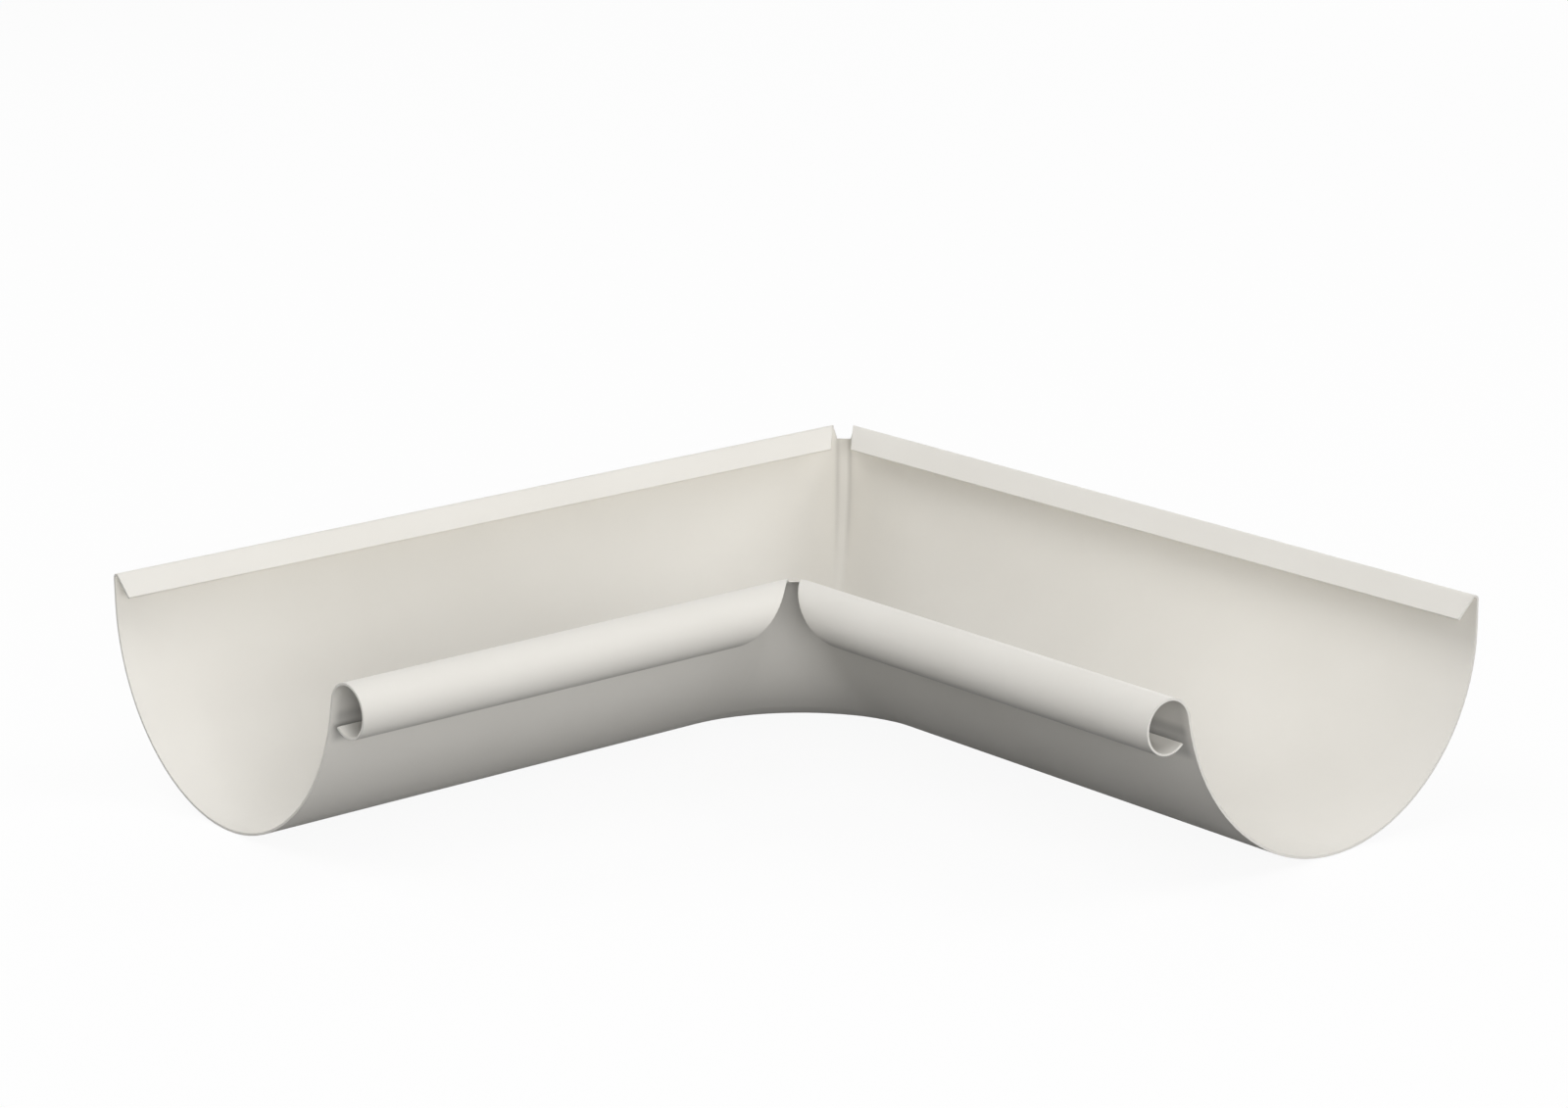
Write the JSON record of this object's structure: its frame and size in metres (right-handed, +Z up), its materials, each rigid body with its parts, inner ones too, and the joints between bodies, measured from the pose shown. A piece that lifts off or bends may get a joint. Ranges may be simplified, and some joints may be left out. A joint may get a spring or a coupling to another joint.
{
  "type": "internal gutter angle",
  "caption": "One-piece pressed sheet-metal inside corner for a half-round roof gutter, with rolled front beads and folded rear lips, turning the gutter through a right angle.",
  "frame": {"origin": "middle of the bounding box at the level of the underside", "axes": "+Z up; one arm runs along +X and the other along -Y, with the rolled beads on the inner side of the corner"},
  "size_m": [0.3164, 0.3164, 0.0735],
  "materials": {
    "coated_sheet": "satin warm white coil coating"
  },
  "bodies": {
    "root": {"gutter_angle": "coated_sheet"}
  },
  "joints": []
}
